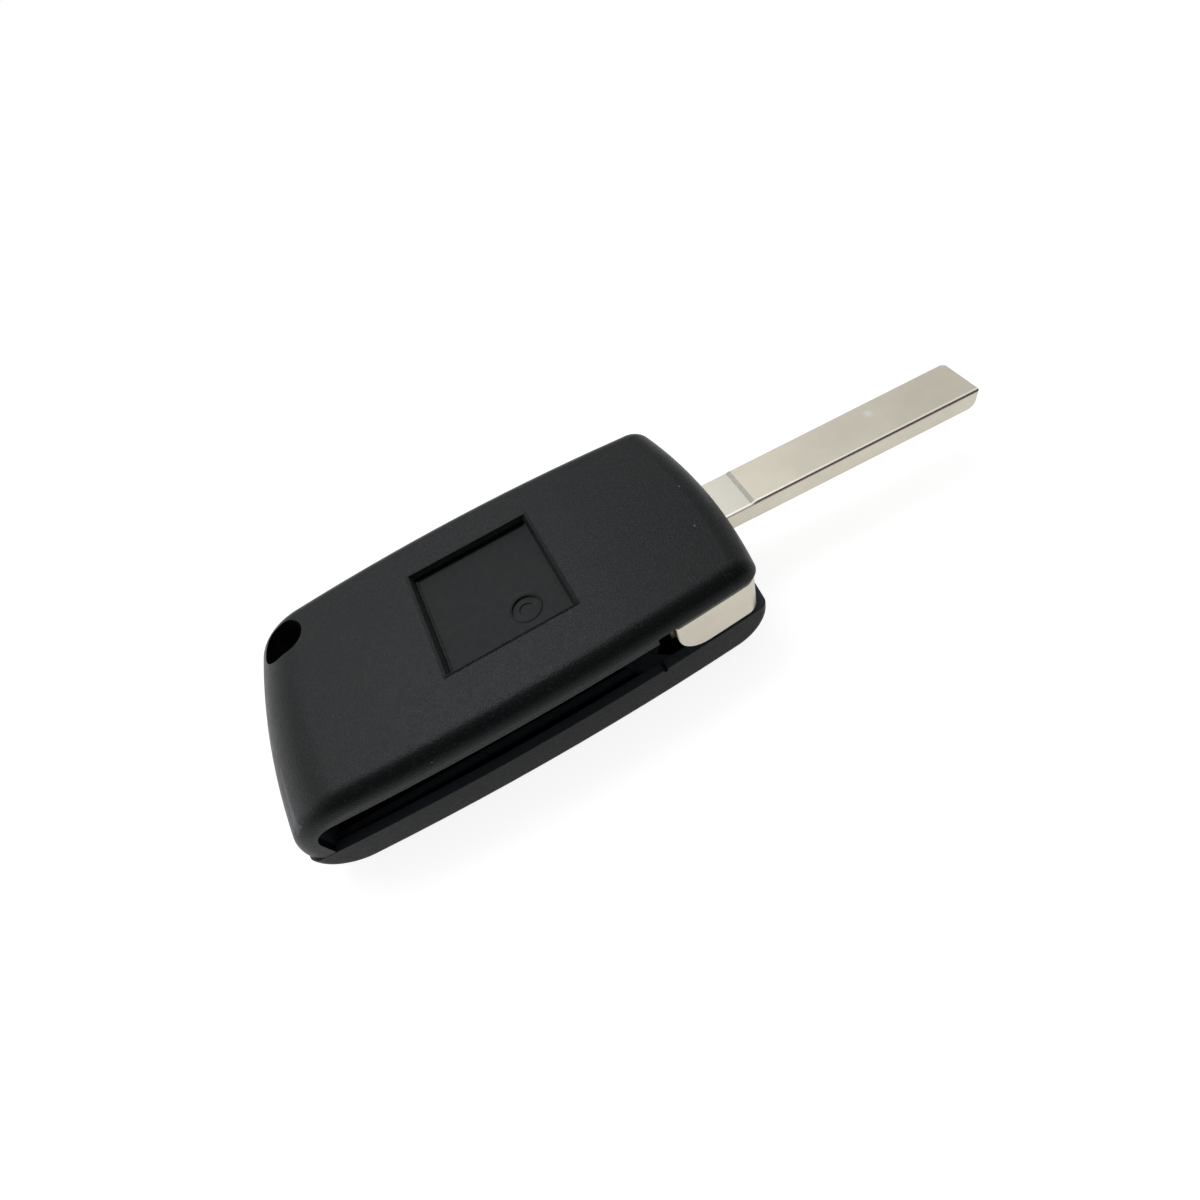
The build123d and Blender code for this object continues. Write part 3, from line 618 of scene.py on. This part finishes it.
step_dullness = 0.35
rub_shine = -0.1
grain_stretch = 0.06
nickel_finish, tree, shader = new_finish("satin_nickel")
clouds = uneven(tree, 110.0, detail=4.0, roughness=0.6)
colour = blend_colours(tree, clouds, nickel_warm, nickel_dull)
worn = use_group(tree, worn_edges, Patches=300.0, Amount=0.8)
step = use_group(tree, top_stretch)
for mask, shade in (
    (worn, nickel_rubbed),
    (use_group(tree, pale_smear), nickel_smear),
    (use_group(tree, top_stretch, Start=11.0, End=16.15), nickel_neck),
    (step, nickel_step),
    # painted highlight along the near top edge, and painted shade beside it
    (use_group(tree, edge_strip), nickel_painted_highlight),
    (use_group(tree, edge_strip, Start=2.0, End=3.18), nickel_painted_shade),
):
    colour = blend_colours(tree, mask, colour, shade)
tree.links.new(colour, shader.inputs["Base Color"])
shader.inputs["Metallic"].default_value = 1.0
sheen = uneven(tree, 1500.0, low=0.36, high=0.44)
sheen = add_math(tree, "ADD", sheen, add_product(tree, worn, rub_shine))
sheen = add_math(tree, "ADD", sheen, add_product(tree, step, step_dullness))
tree.links.new(sheen, shader.inputs["Roughness"])
place = tree.nodes.new("ShaderNodeTexCoord")
stretch = tree.nodes.new("ShaderNodeMapping")
stretch.inputs["Rotation"].default_value = (0, 0, blade_turn)
stretch.inputs["Scale"].default_value = (grain_stretch, 1, 1)
tree.links.new(place.outputs["Object"], stretch.inputs["Vector"])
lines = tree.nodes.new("ShaderNodeTexNoise")
lines.inputs["Scale"].default_value = 6000
lines.inputs["Detail"].default_value = 3
tree.links.new(stretch.outputs["Vector"], lines.inputs["Vector"])
bump_normal(tree, shader, lines.outputs["Fac"], distance=0.004 * MM, edge_radius=0.10 * MM)
dress("key_blade", nickel_finish)


# Release button
# A turned and chromed cup with a dished face, in a bore of the front cover. Its shine is
# broken by faint turning rings round its own axis.
chrome_bright = (0.64, 0.65, 0.66)
chrome_hazy = (0.56, 0.57, 0.58)
chrome_finish, tree, shader = new_finish("bright_chrome")
button_low, button_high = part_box("release_button")
button_centre = (button_low + button_high) / 2
haze = uneven(tree, 500.0)
colour = blend_colours(tree, haze, chrome_bright, chrome_hazy)
tree.links.new(colour, shader.inputs["Base Color"])
shader.inputs["Metallic"].default_value = 1.0
tree.links.new(uneven(tree, 1200.0, low=0.07, high=0.15), shader.inputs["Roughness"])
place = tree.nodes.new("ShaderNodeTexCoord")
centred = tree.nodes.new("ShaderNodeVectorMath")
centred.operation = "SUBTRACT"
centred.inputs[1].default_value = button_centre
tree.links.new(place.outputs["Object"], centred.inputs[0])
rings = tree.nodes.new("ShaderNodeTexWave")
rings.wave_type = "RINGS"
rings.rings_direction = "Z"
rings.inputs["Scale"].default_value = 900
rings.inputs["Distortion"].default_value = 0.4
tree.links.new(centred.outputs["Vector"], rings.inputs["Vector"])
bump_normal(tree, shader, rings.outputs["Fac"], distance=0.0006 * MM, edge_radius=0.08 * MM)
dress("release_button", chrome_finish)


# Keys
# Soft-touch rubber caps with a white print of what each does: open, boot and close. They
# show in openings of the face that the shell lies on, and move with their own slides.
key_black = (0.012, 0.012, 0.0125)
key_worn = (0.024, 0.023, 0.022)
key_finish, tree, shader = new_finish("soft_touch_rubber")
clouds = remap(tree, object_noise(tree, 260.0, detail=4.0, roughness=0.6), low=0.35, high=0.7)
colour = blend_colours(tree, clouds, key_black, key_worn)
tree.links.new(colour, shader.inputs["Base Color"])
tree.links.new(uneven(tree, 1500.0, low=0.58, high=0.72), shader.inputs["Roughness"])
shader.inputs["Sheen Weight"].default_value = 0.08
grain = use_group(tree, eroded_grain, Grains=6500.0)
bump_normal(tree, shader, grain, distance=0.012 * MM, edge_radius=0.15 * MM)

print_thin = (0.50, 0.50, 0.49)
print_white = (0.68, 0.68, 0.66)
print_finish, tree, shader = new_finish("white_print")
patches = remap(tree, object_noise(tree, 1400.0, detail=4.0, roughness=0.7), low=0.25, high=0.6)
colour = blend_colours(tree, patches, print_thin, print_white)
tree.links.new(colour, shader.inputs["Base Color"])
sheen = uneven(tree, 2500.0, low=0.45, high=0.6, detail=2.0)
tree.links.new(sheen, shader.inputs["Roughness"])

# The signs' outlines, in millimetres from the middle of the key, as read from below
print_thickness = 0.03
print_sink = 0.008
arc_steps = 20


def arc(centre_x, centre_y, radius, start, end):
    """Points on an arc from start to end, in degrees anticlockwise from the right."""
    turns = [math.radians(start + (end - start) * i / arc_steps) for i in range(arc_steps + 1)]
    return [(centre_x + radius * math.cos(t), centre_y + radius * math.sin(t)) for t in turns]


def ring(centre_x, centre_y, radius):
    """Points on a whole circle, without the last one, which would meet the first."""
    return arc(centre_x, centre_y, radius, 0, 360 - 360 / arc_steps)


def shackle(foot_x, foot_y, leg, other_leg):
    """Outline of a padlock's bow: its left leg starts at the foot, and the legs may differ."""
    outer = 0.92
    band = 0.34
    centre_x = foot_x + outer - band / 2
    top = foot_y + leg
    inner = outer - band
    return [
        (centre_x - outer, foot_y),
        *arc(centre_x, top, outer, 180, 0),
        (centre_x + outer, top - other_leg),
        (centre_x + inner, top - other_leg),
        *arc(centre_x, top, inner, 0, 180),
        (centre_x - inner, foot_y),
    ]


def padlock_body():
    """Outline of a padlock's body with rounded corners, and its keyhole."""
    half_width, low, high, corner, keyhole = 1.35, -1.75, 0.15, 0.3, 0.28
    body = [
        *arc(half_width - corner, high - corner, corner, 0, 90),
        *arc(-half_width + corner, high - corner, corner, 90, 180),
        *arc(-half_width + corner, low + corner, corner, 180, 270),
        *arc(half_width - corner, low + corner, corner, 270, 360),
    ]
    return [body, ring(0, (low + high) / 2, keyhole)]


def car_with_open_boot():
    """Outlines of a small car from the side, with its wheels and its raised boot lid."""
    wheel_x, wheel_y, arch, wheel = (-1.35, 1.15), -0.75, 0.52, 0.36
    body = [
        (-2.35, wheel_y),
        (-2.35, -0.25),
        (-2.05, 0.02),
        (-1.35, 0.16),
        (-0.75, 0.80),
        (0.55, 0.80),
        (1.15, 0.16),
        (2.1, 0.10),
        (2.25, -0.1),
        (2.25, wheel_y),
        *arc(wheel_x[1], wheel_y, arch, 0, 180),
        *arc(wheel_x[0], wheel_y, arch, 0, 180),
    ]
    lid = [(0.72, 0.86), (0.90, 0.70), (2.10, 1.42), (1.98, 1.62)]
    return [body, lid, *[ring(x, wheel_y, wheel) for x in wheel_x]]


swung_bow = shackle(foot_x=0.78, foot_y=0.15, leg=0.75, other_leg=0.45)
closed_bow = shackle(foot_x=-0.75, foot_y=0.15, leg=0.55, other_leg=0.55)
signs = {
    "unlock": ("unlock_key", [*padlock_body(), swung_bow]),
    "boot": ("boot_key", car_with_open_boot()),
    "lock": ("lock_key", [*padlock_body(), closed_bow]),
}
# Seen from below, a sign's right is +Y and its top is +X
sign_turn = Matrix(((0, 1, 0), (1, 0, 0), (0, 0, -1)))
for body, (key, outlines) in signs.items():
    dress(key, key_finish)
    low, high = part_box(key)
    curve = bpy.data.curves.new(body, "CURVE")
    curve.dimensions = "2D"
    curve.fill_mode = "BOTH"
    curve.extrude = print_thickness / 2 * MM
    for outline in outlines:
        spline = curve.splines.new("POLY")
        spline.points.add(len(outline) - 1)
        for point, (x, y) in zip(spline.points, outline):
            point.co = (x * MM, y * MM, 0, 1)
        spline.use_cyclic_u = True
    drawn = bpy.data.objects.new(body, curve)
    sign = bpy.data.objects.new(body + "_sign", bpy.data.meshes.new_from_object(drawn))
    bpy.data.objects.remove(drawn)
    sign.data.materials.clear()
    sign.data.materials.append(print_finish)
    face = low.z - (print_thickness / 2 - print_sink) * MM
    centre = Vector(((low.x + high.x) / 2, (low.y + high.y) / 2, face))
    sign.matrix_world = Matrix.Translation(centre) @ sign_turn.to_4x4()
    scene.collection.objects.link(sign)
    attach(sign, body)


# Keypad mat
# Grey silicone rubber, pressed in one piece, with a dome behind each key. It lies inside
# the front cover, where the keys stand on it.
mat_pale = (0.20, 0.205, 0.21)
mat_grey = (0.15, 0.155, 0.16)
mat_finish, tree, shader = new_finish("grey_silicone")
clouds = uneven(tree, 300.0, detail=4.0, roughness=0.6)
tree.links.new(blend_colours(tree, clouds, mat_pale, mat_grey), shader.inputs["Base Color"])
tree.links.new(uneven(tree, 1800.0, low=0.5, high=0.66), shader.inputs["Roughness"])
shader.inputs["Subsurface Weight"].default_value = 0.1
shader.inputs["Subsurface Radius"].default_value = (0.0006, 0.0005, 0.0004)
grain = use_group(tree, eroded_grain, Grains=3000.0)
bump_normal(tree, shader, grain, distance=0.01 * MM, edge_radius=0.15 * MM)
dress("keypad_mat", mat_finish)


# Battery contact and flip spring
# Spring steel: a bent strip over the coin cell, and a coil of round wire with closed ends
# between the button's floor and the spring base. The coil moves with the button.
steel_pale = (0.58, 0.57, 0.55)
steel_dark = (0.42, 0.41, 0.40)
steel_finish, tree, shader = new_finish("spring_steel")
clouds = uneven(tree, 400.0, detail=4.0, roughness=0.6)
tree.links.new(blend_colours(tree, clouds, steel_pale, steel_dark), shader.inputs["Base Color"])
shader.inputs["Metallic"].default_value = 1.0
tree.links.new(uneven(tree, 1500.0, low=0.24, high=0.38), shader.inputs["Roughness"])
drawn_lines = object_noise(tree, 5000.0)
bump_normal(tree, shader, drawn_lines, distance=0.002 * MM, edge_radius=0.05 * MM)
dress("battery_contact", steel_finish)

spring_low, spring_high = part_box("flip_spring")
wire = 0.9 * MM
free_turns = 4.5
closed_turns = 1.0
closed_pitch = 1.02 * wire
steps_per_turn = 24
wire_sides = 12
mean_radius = (spring_high.x - spring_low.x - wire) / 2
axis_x = (spring_low.x + spring_high.x) / 2
axis_y = (spring_low.y + spring_high.y) / 2
all_turns = free_turns + 2 * closed_turns
first_z = spring_low.z + wire / 2
last_z = spring_high.z - wire / 2
closed_rise = closed_pitch * closed_turns


def coil_height(turns):
    """Height of the wire's middle after that many turns: close at both ends, open between."""
    if turns < closed_turns:
        return first_z + closed_rise * turns / closed_turns
    if turns > all_turns - closed_turns:
        return last_z - closed_rise * (all_turns - turns) / closed_turns
    share = (turns - closed_turns) / free_turns
    return first_z + closed_rise + (last_z - first_z - 2 * closed_rise) * share


def wire_ring(turns):
    """Points round the wire after that many turns."""
    angle = 2 * math.pi * turns
    outward = Vector((math.cos(angle), math.sin(angle), 0))
    middle = Vector((axis_x, axis_y, coil_height(turns))) + outward * mean_radius
    around = [2 * math.pi * k / wire_sides for k in range(wire_sides)]
    sides = [outward * math.cos(a) + Vector((0, 0, math.sin(a))) for a in around]
    return [middle + side * wire / 2 for side in sides]


count = round(all_turns * steps_per_turn)
vertices = [point for i in range(count + 1) for point in wire_ring(all_turns * i / count)]
faces = []
for i in range(count):
    for k in range(wire_sides):
        near, far = i * wire_sides, (i + 1) * wire_sides
        following = (k + 1) % wire_sides
        faces.append((near + k, near + following, far + following, far + k))
faces.append(tuple(reversed(range(wire_sides))))
faces.append(tuple(range(count * wire_sides, (count + 1) * wire_sides)))
coil_mesh = bpy.data.meshes.new("coil")
coil_mesh.from_pydata(vertices, [], faces)
coil_mesh.update()
coil_mesh.shade_smooth()
coil = bpy.data.objects.new("spring_coil", coil_mesh)
scene.collection.objects.link(coil)
coil_mesh.materials.append(steel_finish)
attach(coil, "button")
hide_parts("flip_spring")
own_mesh(coil)
